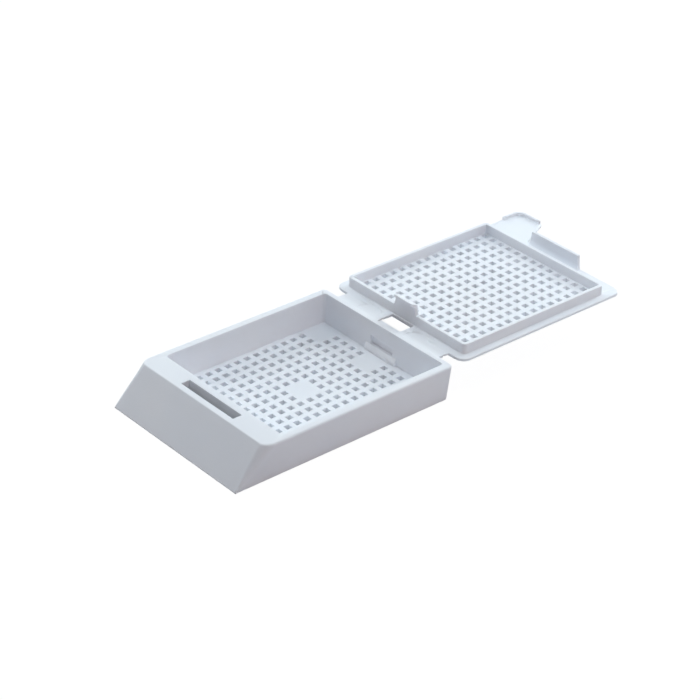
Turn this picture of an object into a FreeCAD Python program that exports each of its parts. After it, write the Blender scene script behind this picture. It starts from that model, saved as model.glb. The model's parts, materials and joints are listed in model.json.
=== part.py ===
import FreeCAD, Part
import math
import os

# Tissue cassette, moulded in one piece and shown open: a perforated tray with a sloped
# writing face, two living-hinge straps, and a perforated lid that folds over onto the tray.
# Millimetres. +X runs from the writing face towards the lid, +Y across, +Z up.
# The origin is the centre of the tray's underside.

V = FreeCAD.Vector

# ---- tray: outer form ---------------------------------------------------------------
TRAY_LENGTH = 40.0          # underside, front edge to rear face
TRAY_HEIGHT = 5.9           # underside to rim
TRAY_WIDTH_RIM = 28.6       # across the rim
SIDE_DRAFT = 0.55           # how far each side leans out from underside to rim
REAR_DRAFT = 0.10           # the same for the rear face
SLOPE_RUN = 4.85            # how far the writing face leans back over its height
FRONT_CORNER_RIM = 1.4      # corner radius at the rim, running out to almost nothing below
FRONT_CORNER_FOOT = 0.15
REAR_CORNER = 0.8
FOOT_LAND = 0.25            # blunt upright edge at the foot of the writing face
FOOT_ROUND = 0.12           # rounding of the edges it stands on
RIM_ROUND = 0.3             # rounding of the rim's outer edges

# ---- tray: specimen compartment -----------------------------------------------------
FLOOR = 0.95                # thickness of the perforated floor
SIDE_WALL = 1.3             # at the rim
REAR_WALL = 1.0             # at the rim
LEDGE = 3.8                 # rim's flat depth between the writing face and the compartment
WALL_LEAN = 0.12            # how much each inner wall closes in towards the floor
COMPARTMENT_CORNER = 0.5
FLOOR_ROUND = 0.1

# ---- tray: hollow nose and latch slot -----------------------------------------------
FACE_WALL = 1.1             # thickness of the sloped writing face
LEDGE_PLATE = 1.2           # thickness of the ledge over the hollow nose
FRONT_WALL = 1.1            # compartment's front wall, below the ledge
SLOT_WIDTH = 11.7
SLOT_DEPTH = 1.55
SLOT_LAND = 1.0             # rim left between the writing face and the slot

# ---- perforations, shared by floor and lid ------------------------------------------
HOLE = 0.95
PITCH = 1.8
COLUMNS = 16                # along X
ROWS = 14                   # across Y
GRID_OFFSET = -0.2          # grid centre from the compartment's centre, along X

# ---- catch in the rear wall ---------------------------------------------------------
SILL_WIDTH = 6.7
SILL_TOP = 2.0              # where its slant meets the rear wall, above the underside
SILL_FRONT = 1.4            # where the slant meets its front face
SILL_DEPTH = 0.5            # how far its front face stands from the rear wall's rim
SILL_LEAN = 0.05
CATCH_WIDTH = 4.9
CATCH_TOP = 3.5             # top of the recess in the wall, above the underside
CATCH_REACH = 0.2           # how far the cutting block starts in front of the wall's rim
CATCH_SKIN = 0.5            # wall left behind the recess

# ---- living hinge -------------------------------------------------------------------
HINGE_REACH = 1.0           # fold line from the rear face at the rim
STRAP = 0.4                 # thickness of the straps
STRAP_DROP = 0.08           # their top below the rim
FILM = 0.2                  # thickness left at the fold
STRAP_SPAN = 22.2           # outer edge to outer edge of the two straps
WINDOW_WIDTH = 4.6          # gap between the straps
WINDOW_WEB = 0.7            # thin web left behind the rim, across the gap
WEB_DROP = 0.3              # web's top below the straps'
WINDOW_END = 3.1            # gap's far edge from the rear face
PIN_MARK = 4.0              # diameter of the ejector-pin marks on the straps
PIN_MARK_SPACING = 10.4
PIN_MARK_OFFSET = 0.4       # centres from the fold line, towards the tray
PIN_MARK_DEPTH = 0.05

# ---- lid ----------------------------------------------------------------------------
LID_GAP = 0.9               # lid's edge from the fold line
LID_SETBACK = 1.38          # closed lid's edge behind the top of the writing face
LID_INSET = 0.2             # lid's side edges inside the rim's
LID_PLATE = 0.45            # thickness of the lid's flat plate and of its tab
LID_PANEL = 0.8             # thickness of its perforated panel, inside the ring
LID_GRID_OFFSET = -0.05     # grid centre from the middle of the ring, along X
LID_CORNER = 1.5
RING_CLEARANCE_SIDE = 0.1   # ring to compartment wall, each side, at the rim
RING_CLEARANCE_REAR = 0.3
RING_CLEARANCE_FRONT = 0.45
RING_HEIGHT = 1.62
RING_WALL = 0.58
RING_CORNER = 0.65

# ---- latch tongue -------------------------------------------------------------------
TONGUE_HEIGHT = 2.5
TONGUE_THICKNESS = 0.55
TONGUE_SIDE_CLEARANCE = 0.5  # to the ends of the slot
TONGUE_FRONT_CLEARANCE = 0.45
TONGUE_TAPER = 0.35          # each end leans in by this
TONGUE_ROOT = 0.5            # foot of the curved root in front of the tongue
TONGUE_ROOT_HEIGHT = 1.3
TONGUE_ROOT_SAG = 0.3        # how far the root's curve bows inwards, as a share of its size
BEAD_WIDTH = 8.0             # bead on the tongue that catches under the ledge
BEAD_START = 1.45            # its foot above the lid
BEAD_HEIGHT = 0.7
BEAD_DEPTH = 0.55

# ---- hinge-side hook ----------------------------------------------------------------
HOOK_HEIGHT = 3.7            # tip above the lid
HOOK_THICKNESS = 0.6
HOOK_NOSE = 0.6              # how far the nose stands out
HOOK_NOSE_HEIGHT = 0.4       # upright face of the nose
HOOK_NOSE_RETURN = 0.5       # height of the slant below it
HOOK_SLOPE = 0.45            # fall of the tip towards its back
HOOK_ROOT_WIDTH = 5.2
HOOK_TIP_WIDTH = 3.8

# ---- thumb tab ----------------------------------------------------------------------
TAB_LENGTH = 6.0
TAB_ROOT = 7.9               # width at the lid's edge
TAB_TIP = 5.1                # width at its end
TAB_CORNER = 1.8
TAB_TIP_CORNER = 0.4
LIP_HEIGHT = 0.6
LIP_WIDTH = 0.5
LIP_ROUND = 0.2              # rounding of its top edges
LIP_START = 2.0              # from the lid's far edge
LIP_RETURN = 4.8             # how far it turns in along the tab's end

OVER = 1.0                   # how far cutting solids run past what they cut

# ---- places worked out from the sizes above -------------------------------------------
FRONT = -TRAY_LENGTH / 2
REAR = TRAY_LENGTH / 2
RIM_HALF = TRAY_WIDTH_RIM / 2
FOOT_HALF = RIM_HALF - SIDE_DRAFT
RIM_FRONT = FRONT + SLOPE_RUN
COMPARTMENT_FRONT = RIM_FRONT + LEDGE
COMPARTMENT_REAR = REAR - REAR_WALL
COMPARTMENT_HALF = RIM_HALF - SIDE_WALL
GRID_CENTRE = (COMPARTMENT_FRONT + COMPARTMENT_REAR) / 2 + GRID_OFFSET
SLOT_FRONT = RIM_FRONT + SLOT_LAND
FOLD_X = REAR + HINGE_REACH
STRAP_TOP = TRAY_HEIGHT - STRAP_DROP
LID_TOP = STRAP_TOP          # the open lid's inner face is level with the straps
LID_NEAR = FOLD_X + LID_GAP
LID_HALF = RIM_HALF - LID_INSET


def folded(x):
    """Where a place on the closed cassette lies along X when the lid is open."""
    return 2 * FOLD_X - x


LID_FAR = folded(RIM_FRONT + LID_SETBACK)
RING_NEAR = folded(COMPARTMENT_REAR - RING_CLEARANCE_REAR)
RING_FAR = folded(COMPARTMENT_FRONT + RING_CLEARANCE_FRONT)
RING_HALF = COMPARTMENT_HALF - RING_CLEARANCE_SIDE


# ---- helpers --------------------------------------------------------------------------
def block(x0, x1, y0, y1, z0, z1):
    return Part.makeBox(x1 - x0, y1 - y0, z1 - z0, V(x0, y0, z0))


def rectangle(x0, x1, half, z):
    return [V(x0, -half, z), V(x1, -half, z), V(x1, half, z), V(x0, half, z)]


def face(points):
    return Part.Face(Part.makePolygon(points + points[:1]))


def frustum(low, high):
    """Flat-sided solid between two level rectangles."""
    sides = [face([low[i - 1], low[i], high[i], high[i - 1]]) for i in range(4)]
    shell = Part.Shell([face(low[::-1]), face(high)] + sides)
    shell.sewShape()
    return Part.Solid(shell)


def prism(points, direction):
    return face(points).extrude(direction)


def edges_where(shape, test):
    return [edge for edge in shape.Edges if test(edge)]


def is_upright(edge):
    """True for an edge that climbs from one level to another."""
    ends = edge.Vertexes
    return len(ends) == 2 and abs(ends[0].Z - ends[1].Z) > FOOT_LAND


def at_corner(edge, x, y):
    """True for an upright edge that stands at x, y."""
    return (edge.CenterOfMass - V(x, y, edge.CenterOfMass.z)).Length < 1e-4


def lies_at(edge, z):
    box = edge.BoundBox
    return abs(box.ZMin - z) < 1e-4 and abs(box.ZMax - z) < 1e-4


def perforations(centre_x, solid_places, z0, z1):
    """Square holes on the shared grid, apart from the solid pads."""
    holes = []
    for column in range(COLUMNS):
        for row in range(ROWS):
            if (column, row) in solid_places:
                continue
            x = centre_x + (column - (COLUMNS - 1) / 2) * PITCH
            y = (row - (ROWS - 1) / 2) * PITCH
            holes.append(block(x - HOLE / 2, x + HOLE / 2, y - HOLE / 2, y + HOLE / 2, z0, z1))
    return Part.makeCompound(holes)


def pads():
    """Grid places left solid: four corners, centre, and the middle of the front and rear."""
    ends = [0, COLUMNS - 2]
    sides = [0, ROWS - 2]
    middle = ROWS // 2 - 1
    starts = [(c, r) for c in ends for r in sides]
    starts += [(c, middle) for c in ends]
    starts.append((COLUMNS // 2 - 1, middle))
    return {(c + i, r + j) for c, r in starts for i in (0, 1) for j in (0, 1)}


def pin_marks():
    """Shallow round marks left by the ejector pins on the straps."""
    marks = []
    for side in (-1, 1):
        centre = V(FOLD_X - PIN_MARK_OFFSET, side * PIN_MARK_SPACING / 2,
                   STRAP_TOP - PIN_MARK_DEPTH)
        marks.append(Part.makeCylinder(PIN_MARK / 2, OVER, centre))
    straps = block(REAR, FOLD_X + PIN_MARK, -STRAP_SPAN / 2, STRAP_SPAN / 2, 0, TRAY_HEIGHT + OVER)
    return Part.makeCompound(marks).common(straps)


# ---- tray -------------------------------------------------------------------------------
def tray_body():
    """Drafted block with the sloped front; its front corners round off towards the rim."""
    slope = SLOPE_RUN / (TRAY_HEIGHT - FOOT_LAND)
    foot = rectangle(FRONT - slope * FOOT_LAND, REAR - REAR_DRAFT, FOOT_HALF, 0)
    rim = rectangle(RIM_FRONT, REAR, RIM_HALF, TRAY_HEIGHT)
    body = frustum(foot, rim)
    rear = edges_where(body, lambda e: is_upright(e) and e.BoundBox.XMin > 0)
    body = body.makeFillet(REAR_CORNER, rear)
    for side in (-1, 1):
        front = edges_where(body, lambda e: is_upright(e) and e.BoundBox.XMax < 0
                            and e.BoundBox.Center.y * side > 0)
        climbs = front[0].Vertexes[0].Z < front[0].Vertexes[-1].Z
        radii = (FRONT_CORNER_FOOT, FRONT_CORNER_RIM)
        if not climbs:
            radii = radii[::-1]
        body = body.makeFillet(radii[0], radii[1], front)
    body = body.cut(block(FRONT - OVER, FRONT, -RIM_HALF, RIM_HALF, -OVER, TRAY_HEIGHT))
    body = body.makeFillet(FOOT_ROUND, edges_where(body, lambda e: lies_at(e, 0)))
    return body.makeFillet(RIM_ROUND, edges_where(body, lambda e: lies_at(e, TRAY_HEIGHT)))


def compartment():
    """Space of the specimen compartment, closing in slightly towards the floor."""
    lean = OVER * WALL_LEAN / (TRAY_HEIGHT - FLOOR)
    low = rectangle(COMPARTMENT_FRONT + WALL_LEAN, COMPARTMENT_REAR - WALL_LEAN,
                    COMPARTMENT_HALF - WALL_LEAN, FLOOR)
    high = rectangle(COMPARTMENT_FRONT - lean, COMPARTMENT_REAR + lean, COMPARTMENT_HALF + lean,
                     TRAY_HEIGHT + OVER)
    space = frustum(low, high)
    space = space.makeFillet(COMPARTMENT_CORNER, edges_where(space, is_upright))
    return space.makeFillet(FLOOR_ROUND, edges_where(space, lambda e: lies_at(e, FLOOR)))


def nose_hollow():
    """Space below the ledge, open underneath, behind the sloped face."""
    lean = SLOPE_RUN / TRAY_HEIGHT
    run = FACE_WALL * math.hypot(1, lean)
    top = TRAY_HEIGHT - LEDGE_PLATE
    back = COMPARTMENT_FRONT - FRONT_WALL
    half = FOOT_HALF - SIDE_WALL
    outline = [V(FRONT + run, -half, 0), V(back, -half, 0), V(back, -half, top),
               V(FRONT + run + lean * top, -half, top)]
    return prism(outline, V(0, 2 * half, 0))


def sill():
    """Low ramp at the foot of the rear wall; the catch recess opens above it."""
    wall = COMPARTMENT_REAR
    front = wall - SILL_DEPTH
    side = -SILL_WIDTH / 2
    outline = [V(front - SILL_LEAN, side, FLOOR / 2), V(wall, side, FLOOR / 2),
               V(wall, side, SILL_TOP), V(wall - WALL_LEAN, side, SILL_TOP),
               V(front, side, SILL_FRONT)]
    return prism(outline, V(0, SILL_WIDTH, 0))


def strap_bar(x0, x1):
    """Straps between two places along X, with the gap between them left open."""
    z0 = STRAP_TOP - STRAP
    bars = []
    for side in (-1, 1):
        low, high = sorted((side * WINDOW_WIDTH / 2, side * STRAP_SPAN / 2))
        bars.append(block(x0, x1, low, high, z0, STRAP_TOP))
    return bars


def fold_groove():
    """V-groove under the straps that leaves a thin film at the fold."""
    depth = STRAP - FILM
    z0 = STRAP_TOP - STRAP
    outline = [V(FOLD_X - depth, -STRAP_SPAN, z0), V(FOLD_X + depth, -STRAP_SPAN, z0),
               V(FOLD_X, -STRAP_SPAN, z0 + depth)]
    return prism(outline, V(0, 2 * STRAP_SPAN, 0))


def make_tray():
    tray = tray_body().cut(compartment()).cut(nose_hollow())
    tray = tray.fuse(sill().common(tray_body()))
    catch = block(COMPARTMENT_REAR - CATCH_REACH, REAR - CATCH_SKIN, -CATCH_WIDTH / 2,
                  CATCH_WIDTH / 2, SILL_TOP, CATCH_TOP)
    slot = block(SLOT_FRONT, SLOT_FRONT + SLOT_DEPTH, -SLOT_WIDTH / 2, SLOT_WIDTH / 2,
                 TRAY_HEIGHT - LEDGE_PLATE - OVER, TRAY_HEIGHT + OVER)
    tray = tray.cut([catch, slot])
    web = block(REAR - REAR_WALL / 2, REAR + WINDOW_WEB, -WINDOW_WIDTH / 2, WINDOW_WIDTH / 2,
                STRAP_TOP - WEB_DROP - FILM, STRAP_TOP - WEB_DROP)
    tray = tray.fuse(strap_bar(REAR - REAR_WALL / 2, FOLD_X) + [web]).removeSplitter()
    tray = tray.cut([fold_groove(), pin_marks()])
    return tray.cut(perforations(GRID_CENTRE, pads(), -OVER, FLOOR + OVER))


# ---- lid --------------------------------------------------------------------------------
def lid_plate():
    """Flat plate of the lid, rounded at every corner but the tab's, and its thicker panel."""
    plate = block(LID_NEAR, LID_FAR, -LID_HALF, LID_HALF, LID_TOP - LID_PLATE, LID_TOP)
    plate = plate.makeFillet(LID_CORNER, edges_where(
        plate, lambda e: is_upright(e) and not at_corner(e, LID_FAR, LID_HALF)))
    panel = block(RING_NEAR, RING_FAR, -RING_HALF, RING_HALF, LID_TOP - LID_PANEL, LID_TOP)
    return plate.fuse(panel)


def ring():
    """Raised wall round the perforated field; it drops into the compartment's mouth."""
    z0 = LID_TOP - LID_PLATE
    z1 = LID_TOP + RING_HEIGHT
    outer = block(RING_NEAR, RING_FAR, -RING_HALF, RING_HALF, z0, z1)
    inner = block(RING_NEAR + RING_WALL, RING_FAR - RING_WALL, -RING_HALF + RING_WALL,
                  RING_HALF - RING_WALL, LID_TOP, z1 + OVER)
    outer = outer.makeFillet(RING_CORNER, edges_where(outer, is_upright))
    inner = inner.makeFillet(RING_CORNER - RING_WALL, edges_where(inner, is_upright))
    return outer.cut(inner)


def thumb_tab():
    """Flat wing past the lid's far edge, with a low lip along its outer edges."""
    far = LID_FAR + TAB_LENGTH
    tip = LID_HALF - TAB_TIP
    z0 = LID_TOP - LID_PLATE
    wing = prism([V(LID_FAR - OVER, LID_HALF, z0), V(LID_FAR - OVER, LID_HALF - TAB_ROOT, z0),
                  V(LID_FAR, LID_HALF - TAB_ROOT, z0), V(far, tip, z0), V(far, LID_HALF, z0)],
                 V(0, 0, LID_PLATE))
    wing = wing.makeFillet(TAB_CORNER, edges_where(wing, lambda e: at_corner(e, far, LID_HALF)))
    wing = wing.makeFillet(TAB_TIP_CORNER, edges_where(wing, lambda e: at_corner(e, far, tip)))
    lip = block(LID_FAR + LIP_START, far, LID_HALF - LIP_RETURN, LID_HALF,
                LID_TOP - LID_PLATE / 2, LID_TOP + LIP_HEIGHT)
    lip = lip.makeFillet(TAB_CORNER, edges_where(lip, lambda e: at_corner(e, far, LID_HALF)))
    far -= LIP_WIDTH
    edge = LID_HALF - LIP_WIDTH
    inside = block(LID_FAR, far, 0, edge, LID_TOP - OVER, LID_TOP + OVER)
    inside = inside.makeFillet(TAB_CORNER - LIP_WIDTH,
                               edges_where(inside, lambda e: at_corner(e, far, edge)))
    lip = lip.cut(inside)
    crest = edges_where(lip, lambda e: lies_at(e, LID_TOP + LIP_HEIGHT))
    return wing.fuse(lip.makeFillet(LIP_ROUND, crest))


def tongue():
    """Upright latch tongue that drops into the slot of the tray's ledge."""
    outer = folded(SLOT_FRONT + TONGUE_FRONT_CLEARANCE)
    inner = outer - TONGUE_THICKNESS
    root = inner - TONGUE_ROOT
    half = SLOT_WIDTH / 2 - TONGUE_SIDE_CLEARANCE
    z0 = LID_TOP - LID_PLATE / 2
    z1 = LID_TOP + TONGUE_HEIGHT
    root_top = LID_TOP + TONGUE_ROOT_HEIGHT
    bow = V(inner - TONGUE_ROOT * TONGUE_ROOT_SAG, -half,
            LID_TOP + TONGUE_ROOT_HEIGHT * TONGUE_ROOT_SAG)
    curve = Part.Arc(V(root, -half, LID_TOP), bow, V(inner, -half, root_top)).toShape()
    rest = Part.makePolygon([V(inner, -half, root_top), V(inner, -half, z1), V(outer, -half, z1),
                             V(outer, -half, z0), V(root, -half, z0), V(root, -half, LID_TOP)])
    blade = Part.Face(Part.Wire([curve] + rest.Edges)).extrude(V(0, 2 * half, 0))
    ends = frustum(rectangle(root - OVER, outer + OVER, half, z0),
                   rectangle(root - OVER, outer + OVER, half - TONGUE_TAPER, z1))
    foot = LID_TOP + BEAD_START
    bead = prism([V(outer, -BEAD_WIDTH / 2, foot),
                  V(outer + BEAD_DEPTH, -BEAD_WIDTH / 2, foot + BEAD_HEIGHT / 2),
                  V(outer, -BEAD_WIDTH / 2, foot + BEAD_HEIGHT)], V(0, BEAD_WIDTH, 0))
    return blade.common(ends).fuse(bead)


def hook():
    """Catch on the hinge side of the ring; its nose snaps into the recess of the rear wall."""
    front = RING_NEAR
    back = front + HOOK_THICKNESS
    tip = LID_TOP + HOOK_HEIGHT
    nose = front - HOOK_NOSE
    root = HOOK_ROOT_WIDTH / 2
    head = HOOK_TIP_WIDTH / 2
    z0 = LID_TOP - LID_PLATE / 2
    profile = [V(front, -root, z0), V(back, -root, z0), V(back, -root, tip - HOOK_SLOPE),
               V(nose, -root, tip), V(nose, -root, tip - HOOK_NOSE_HEIGHT),
               V(front, -root, tip - HOOK_NOSE_HEIGHT - HOOK_NOSE_RETURN)]
    bar = prism(profile, V(0, 2 * root, 0))
    shoulder = LID_TOP + RING_HEIGHT / 2
    outline = [V(nose, -root, z0), V(nose, root, z0), V(nose, root, shoulder), V(nose, head, tip),
               V(nose, -head, tip), V(nose, -root, shoulder)]
    return bar.common(prism(outline, V(back - nose, 0, 0)))


def make_lid():
    lid = lid_plate().fuse([ring(), thumb_tab(), tongue(), hook()]
                           + strap_bar(FOLD_X, LID_NEAR + OVER))
    gap = block(FOLD_X, REAR + WINDOW_END, -WINDOW_WIDTH / 2, WINDOW_WIDTH / 2,
                LID_TOP - OVER, LID_TOP + OVER)
    lid = lid.removeSplitter().cut([gap, fold_groove(), pin_marks()])
    centre = (RING_NEAR + RING_FAR) / 2 + LID_GRID_OFFSET
    return lid.cut(perforations(centre, set(), LID_TOP - OVER, LID_TOP + OVER))


def main():
    os.makedirs("parts", exist_ok=True)
    for name, shape in (("tray", make_tray()), ("lid", make_lid())):
        solid = shape.Solids[0] if len(shape.Solids) == 1 else shape
        print(name, len(shape.Solids), "solid(s)", round(shape.Volume, 2), "mm3", shape.isValid())
        solid.exportStep("parts/" + name + ".step")


main()
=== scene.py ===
import json
import math

import bmesh
import bpy
from mathutils import Matrix, Vector


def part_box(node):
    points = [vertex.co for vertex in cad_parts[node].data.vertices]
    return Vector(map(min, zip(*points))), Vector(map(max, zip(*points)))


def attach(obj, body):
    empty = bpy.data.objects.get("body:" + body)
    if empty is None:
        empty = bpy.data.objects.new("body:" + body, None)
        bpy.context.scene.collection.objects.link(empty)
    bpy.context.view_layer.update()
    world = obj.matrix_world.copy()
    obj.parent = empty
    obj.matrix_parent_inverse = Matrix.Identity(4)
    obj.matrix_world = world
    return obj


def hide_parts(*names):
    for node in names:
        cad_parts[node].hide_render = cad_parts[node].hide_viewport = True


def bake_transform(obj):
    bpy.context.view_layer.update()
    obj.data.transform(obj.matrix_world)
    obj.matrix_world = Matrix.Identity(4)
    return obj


# A tissue cassette moulded in one piece from white acetal: a perforated tray with a sloped
# writing face, two thin folding straps, and a perforated lid that lies open behind the tray.
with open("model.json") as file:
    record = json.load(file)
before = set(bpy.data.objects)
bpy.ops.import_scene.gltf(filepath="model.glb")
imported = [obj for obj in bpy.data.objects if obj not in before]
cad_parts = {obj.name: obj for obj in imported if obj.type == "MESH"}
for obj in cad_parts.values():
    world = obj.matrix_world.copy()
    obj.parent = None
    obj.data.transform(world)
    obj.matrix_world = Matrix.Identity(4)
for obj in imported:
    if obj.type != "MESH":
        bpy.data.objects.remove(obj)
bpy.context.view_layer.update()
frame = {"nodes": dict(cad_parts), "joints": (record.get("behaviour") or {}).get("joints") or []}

MM = 0.001


# ---- camera ---------------------------------------------------------------------------
# Looks down on the writing face's corner, with the opened lid running away behind.
AZIMUTH = -42.78
ELEVATION = 30.89
ROLL = 2.78
PLACE = Vector((-180.8, -209.0, 174.8)) * MM
SENSOR = 36                   # full frame, in millimetres, as is the lens
LENS = 116.3
SHIFT_Y = -0.0006

azimuth = math.radians(AZIMUTH)
elevation = math.radians(ELEVATION)
back = Vector((math.sin(azimuth) * math.cos(elevation),
               -math.cos(azimuth) * math.cos(elevation),
               math.sin(elevation)))
camera = bpy.data.objects.new("camera", bpy.data.cameras.new("camera"))
bpy.context.scene.collection.objects.link(camera)
turned = back.to_track_quat("Z", "Y").to_matrix() @ Matrix.Rotation(math.radians(ROLL), 3, "Z")
camera.matrix_world = Matrix.Translation(PLACE) @ turned.to_4x4()
camera.data.sensor_width = SENSOR
camera.data.lens = LENS
camera.data.shift_y = SHIFT_Y
camera.data.clip_start = 0.01
camera.data.clip_end = 10
bpy.context.scene.camera = camera
bpy.context.scene.view_settings.view_transform = "Standard"


# ---- the tray ------------------------------------------------------------------------------
# Perforated box with a sloped face for the specimen's label, injection moulded in bluish
# white acetal. The mould leaves every edge very slightly rounded, down to the rims of the
# holes, and the sloped face finely grained so that it takes print.
EDGE_ROUND = 0.09 * MM
EDGE_ROOM = 0.2 * MM          # flat width that an edge needs beside it to be rounded
FACET_MERGE = math.radians(0.6)
SHARP = math.radians(35)
SAME_POINT = 1e-6
SLIVER = 0.02 * MM            # ends this close to an edge's span, or to the fold, count as on it
STRAY = 0.04 * MM             # the rounding never takes a point further off the solid
MANY_SIDES = 30               # faces with more sides, round many holes, are split so that
                              # the rounding can't fold them over
SLOPE_RUN = 4.85 * MM         # how far the writing face leans back over its height
SLOPE_FACING = 0.5            # its normal points up and forwards by more than this
fold = Vector(frame["joints"][0]["pos_m"])


def linear(code):
    """Turns an sRGB hex colour into linear red, green, blue and alpha."""
    values = [int(code[i:i + 2], 16) / 255 for i in (1, 3, 5)]
    return [v / 12.92 if v <= 0.04045 else ((v + 0.055) / 1.055) ** 2.4 for v in values] + [1]


def add(tree, kind, links=(), **settings):
    """Adds a node, sets its properties and sockets, and links sockets to outputs."""
    node = tree.nodes.new(kind)
    for name, value in settings.items():
        if hasattr(node, name):
            setattr(node, name, value)
        else:
            node.inputs[name.replace("_", " ")].default_value = value
    for name, output in links:
        tree.links.new(output, node.inputs[name])
    return node


# Acetal is hard, satin and slightly waxy: light goes about half a millimetre into it, so
# thin walls and hole edges glow a little. Its tone drifts faintly where the melt flowed.
FLOW = 11 * MM                # size of the drifts in tone
FLOW_PALE, FLOW_DARK = "#f3f5fa", "#eff2f8"
GLEAM = 0.05                  # how much the roughness varies either way
GRAIN_DEPTH = 0.02 * MM
LIGHT_DEPTH = 0.45 * MM
LIGHT_SHARE = 0.6             # share of the light that goes in


def acetal(name, roughness, grain, relief):
    """Moulded acetal with a surface grain of a given size in millimetres and relief."""
    material = bpy.data.materials.new(name)
    material.use_nodes = True
    tree = material.node_tree
    tree.nodes.clear()
    place = add(tree, "ShaderNodeTexCoord").outputs["Object"]
    flow = add(tree, "ShaderNodeTexNoise", Scale=1 / FLOW, Detail=1.5,
               links=[("Vector", place)])
    tone = add(tree, "ShaderNodeValToRGB", links=[("Fac", flow.outputs["Fac"])])
    tone.color_ramp.elements[0].position = 0.3
    tone.color_ramp.elements[0].color = linear(FLOW_DARK)
    tone.color_ramp.elements[1].position = 0.7
    tone.color_ramp.elements[1].color = linear(FLOW_PALE)
    pores = add(tree, "ShaderNodeTexNoise", Scale=1 / (grain * MM), Detail=2,
                links=[("Vector", place)])
    sheen = add(tree, "ShaderNodeMapRange", To_Min=roughness - GLEAM, To_Max=roughness + GLEAM,
                links=[("Value", pores.outputs["Fac"])])
    bump = add(tree, "ShaderNodeBump", Strength=relief, Distance=GRAIN_DEPTH,
               links=[("Height", pores.outputs["Fac"])])
    shader = add(tree, "ShaderNodeBsdfPrincipled", IOR=1.48, Subsurface_Weight=LIGHT_SHARE,
                 Subsurface_Radius=(1, 1, 1), Subsurface_Scale=LIGHT_DEPTH,
                 links=[("Base Color", tone.outputs["Color"]),
                        ("Roughness", sheen.outputs["Result"]),
                        ("Normal", bump.outputs["Normal"])])
    add(tree, "ShaderNodeOutputMaterial", links=[("Surface", shader.outputs[0])])
    return material


acetal_smooth = acetal("moulded acetal", roughness=0.42, grain=0.5, relief=0.15)
acetal_grained = acetal("grained acetal", roughness=0.58, grain=0.3, relief=0.5)


def mark_edges_to_round(mesh):
    """Marks the sharp edges that have room for the rounding, and leaves out the fold line."""
    shell = bmesh.new()
    shell.from_mesh(mesh)
    weight = shell.edges.layers.float.new("bevel_weight_edge")
    sharp = {edge for edge in shell.edges
             if len(edge.link_faces) == 2 and edge.calc_face_angle() > SHARP}
    corners = {end for edge in sharp for end in edge.verts}
    for edge in sharp:
        start, end = (vertex.co for vertex in edge.verts)
        run = end - start
        reach = SLIVER / run.length
        at_fold = max(abs(start.x - fold.x), abs(end.x - fold.x)) < SLIVER
        tight = False
        for face in edge.link_faces:
            for vertex in face.verts:
                along = (vertex.co - start).dot(run) / run.length_squared
                if vertex in corners and vertex not in edge.verts and -reach < along < 1 + reach:
                    gap = (vertex.co - start - along * run).length
                    tight = tight or gap < EDGE_ROOM
        edge[weight] = 0 if at_fold or tight else 1
    shell.to_mesh(mesh)
    shell.free()


def moulding(node, name):
    """Copies a solid's surface, joins its facets into flat faces and rounds its sharp edges."""
    source = frame["nodes"][node]
    piece = bpy.data.objects.new(name, source.data.copy())
    bpy.context.scene.collection.objects.link(piece)
    bpy.ops.object.select_all(action="DESELECT")
    bpy.context.view_layer.objects.active = piece
    piece.select_set(True)
    bpy.ops.object.mode_set(mode="EDIT")
    bpy.ops.mesh.select_all(action="SELECT")
    bpy.ops.mesh.remove_doubles(threshold=SAME_POINT)
    bpy.ops.mesh.dissolve_limited(angle_limit=FACET_MERGE)
    bpy.ops.mesh.select_all(action="DESELECT")
    bpy.ops.mesh.select_face_by_sides(number=MANY_SIDES, type="GREATER")
    bpy.ops.mesh.quads_convert_to_tris(quad_method="BEAUTY", ngon_method="BEAUTY")
    bpy.ops.object.mode_set(mode="OBJECT")
    mark_edges_to_round(piece.data)
    rounding = piece.modifiers.new("rounded edges", "BEVEL")
    rounding.width = EDGE_ROUND
    rounding.segments = 2
    rounding.limit_method = "WEIGHT"
    rounding.use_clamp_overlap = False
    bpy.ops.object.modifier_apply(modifier=rounding.name)
    for vertex in piece.data.vertices:
        _, nearest, _, _ = source.closest_point_on_mesh(vertex.co)
        if (vertex.co - nearest).length > STRAY:
            vertex.co = nearest
    bpy.ops.object.shade_smooth_by_angle(angle=SHARP)
    level = piece.modifiers.new("flat faces stay flat", "WEIGHTED_NORMAL")
    level.keep_sharp = True
    bpy.ops.object.modifier_apply(modifier=level.name)
    piece.data.materials.clear()
    piece.data.materials.append(acetal_smooth)
    return piece


tray = moulding("tray", "tray_moulding")
tray.data.materials.append(acetal_grained)
tray_low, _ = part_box("tray")
slope_top = tray_low.x + SLOPE_RUN
for polygon in tray.data.polygons:
    normal = polygon.normal
    leans_back = normal.z > SLOPE_FACING and normal.x < -SLOPE_FACING
    if polygon.center.x < slope_top and leans_back:
        polygon.material_index = 1
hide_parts("tray")
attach(tray, "tray")


# ---- the lid -------------------------------------------------------------------------------
# The same moulding carries on over the fold into the lid: a thin perforated plate with a
# raised ring, a latch tongue, a hook and a thumb tab, all with the tray's finish.
lid = moulding("lid", "lid_moulding")
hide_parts("lid")
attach(lid, "lid")


# ---- the living hinge ------------------------------------------------------------------------
# Where the two straps fold, the moulding thins to a film that bends instead of turning on a
# pin. Each film runs a little way into the straps on both sides of the fold.
FILM = 0.13 * MM              # clear of the ejector-pin marks above it
FILM_REACH = 0.2 * MM
FILM_BELOW = 0.115 * MM       # its top below the axis that it folds about
FILM_STEPS = 16               # along the bend
STRAP_INNER = 2.32 * MM       # the film's edges from the middle of the moulding, which lie
STRAP_OUTER = 11.08 * MM      # just inside the strap's

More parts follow.
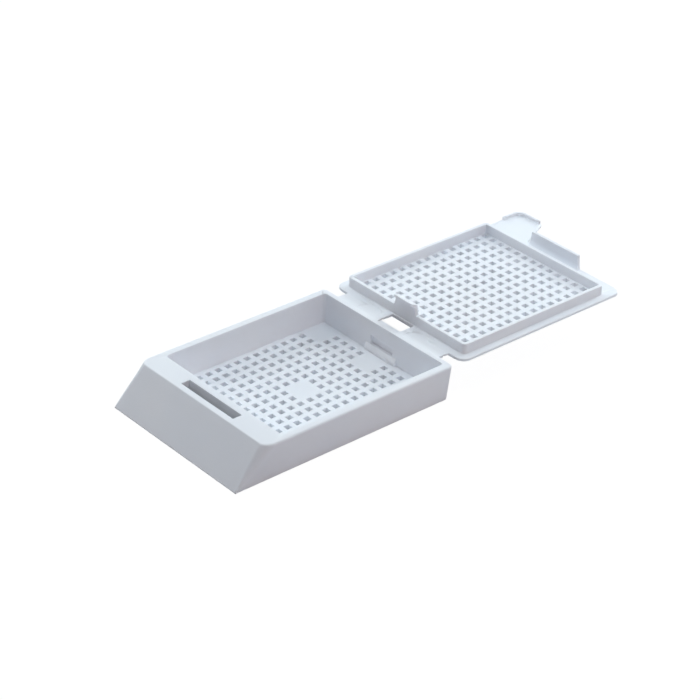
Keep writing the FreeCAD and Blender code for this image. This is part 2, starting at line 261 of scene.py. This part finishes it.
for side, name in ((-1, "hinge_film_right"), (1, "hinge_film_left")):
    bpy.ops.object.select_all(action="DESELECT")
    bpy.ops.mesh.primitive_grid_add(
        x_subdivisions=FILM_STEPS, y_subdivisions=1, size=1,
        location=(fold.x, side * (STRAP_INNER + STRAP_OUTER) / 2, fold.z - FILM_BELOW))
    film = bpy.context.object
    film.name = name
    film.scale = (2 * FILM_REACH, STRAP_OUTER - STRAP_INNER, 1)
    bpy.ops.object.transform_apply(location=True, rotation=True, scale=True)
    bpy.ops.object.mode_set(mode="EDIT")
    bpy.ops.mesh.extrude_region_move(TRANSFORM_OT_translate={"value": (0, 0, -FILM)})
    bpy.ops.mesh.select_all(action="SELECT")
    bpy.ops.mesh.normals_make_consistent(inside=False)
    bpy.ops.object.mode_set(mode="OBJECT")
    bpy.ops.object.shade_smooth_by_angle(angle=SHARP)
    film.data.materials.append(acetal_smooth)
    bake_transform(film)


# ---- bench and light ---------------------------------------------------------------------
# A white bench with softboxes above, behind and on both sides, and a faint low one at the
# front left. The strongest stands behind, so the faces towards the camera are in soft shade.
BENCH = "#eceef3"
BENCH_GLOW = 1.05             # the bench as seen, so that it runs into the white behind it
BENCH_GLOW_SHARE = 0.92       # the rest is the matt bench with the part's shadow on it
BENCH_SIZE = 3
SKY = (1, 0.8, 0.85, 1)
SKY_STRENGTH = 0.03


def white_ground():
    """White bench that glows to the eye and to reflections, and is plain matt to all else."""
    material = bpy.data.materials.new("white bench")
    material.use_nodes = True
    tree = material.node_tree
    tree.nodes.clear()
    path = add(tree, "ShaderNodeLightPath")
    seen = add(tree, "ShaderNodeMath", operation="MAXIMUM",
               links=[(0, path.outputs["Is Camera Ray"]), (1, path.outputs["Is Glossy Ray"])])
    share = add(tree, "ShaderNodeMath", operation="MULTIPLY", links=[(0, seen.outputs[0])])
    share.inputs[1].default_value = BENCH_GLOW_SHARE
    matt = add(tree, "ShaderNodeBsdfDiffuse")
    matt.inputs["Color"].default_value = linear(BENCH)
    glow = add(tree, "ShaderNodeEmission")
    glow.inputs["Color"].default_value = (1, 1, 1, 1)
    glow.inputs["Strength"].default_value = BENCH_GLOW
    mix = add(tree, "ShaderNodeMixShader",
              links=[(0, share.outputs[0]), (1, matt.outputs[0]), (2, glow.outputs[0])])
    add(tree, "ShaderNodeOutputMaterial", links=[("Surface", mix.outputs[0])])
    return material


bpy.ops.object.select_all(action="DESELECT")
bpy.ops.mesh.primitive_plane_add(size=BENCH_SIZE)
bench = bpy.context.object
bench.name = "bench"
bench.data.materials.append(white_ground())

world = bpy.data.worlds.new("studio")
bpy.context.scene.world = world
world.use_nodes = True
tree = world.node_tree
tree.nodes.clear()
path = add(tree, "ShaderNodeLightPath")
seen = add(tree, "ShaderNodeMath", operation="MAXIMUM",
           links=[(0, path.outputs["Is Camera Ray"]), (1, path.outputs["Is Glossy Ray"])])
sky = add(tree, "ShaderNodeBackground")
sky.inputs["Color"].default_value = SKY
sky.inputs["Strength"].default_value = SKY_STRENGTH
white = add(tree, "ShaderNodeBackground")
white.inputs["Color"].default_value = (1, 1, 1, 1)
white.inputs["Strength"].default_value = 1.0
mix = add(tree, "ShaderNodeMixShader",
          links=[(0, seen.outputs[0]), (1, sky.outputs[0]), (2, white.outputs[0])])
add(tree, "ShaderNodeOutputWorld", links=[("Surface", mix.outputs[0])])


# The lamp overhead is the coolest and the two weak ones, at the right and at the front left,
# are warm, so that faces in shade are a touch warmer.
COOL = (0.74, 0.91, 1)
PALE = (0.86, 0.95, 1)
WARM = (1, 0.76, 0.72)
AIM = (0.02, 0, 0)            # near the middle of the opened part
SOFTBOX = 0.2


def softbox(name, place, watts, colour):
    """Square softbox that stands at a place and faces the part."""
    lamp = bpy.data.lights.new(name, "AREA")
    lamp.shape = "SQUARE"
    lamp.size = SOFTBOX
    lamp.energy = watts
    lamp.color = colour
    item = bpy.data.objects.new(name, lamp)
    bpy.context.scene.collection.objects.link(item)
    item.location = Vector(place)
    item.rotation_euler = (Vector(place) - Vector(AIM)).to_track_quat("Z", "Y").to_euler()


softbox("softbox above", (0.02, 0, 0.3), 0.325, COOL)
softbox("softbox behind", (0.266, 0, 0.172), 0.495, PALE)
softbox("softbox left", (0.02, 0.246, 0.172), 0.39, PALE)
softbox("softbox right", (0.02, -0.246, 0.172), 0.165, WARM)
softbox("softbox front left", (-0.18, 0.193, 0.112), 0.08, WARM)
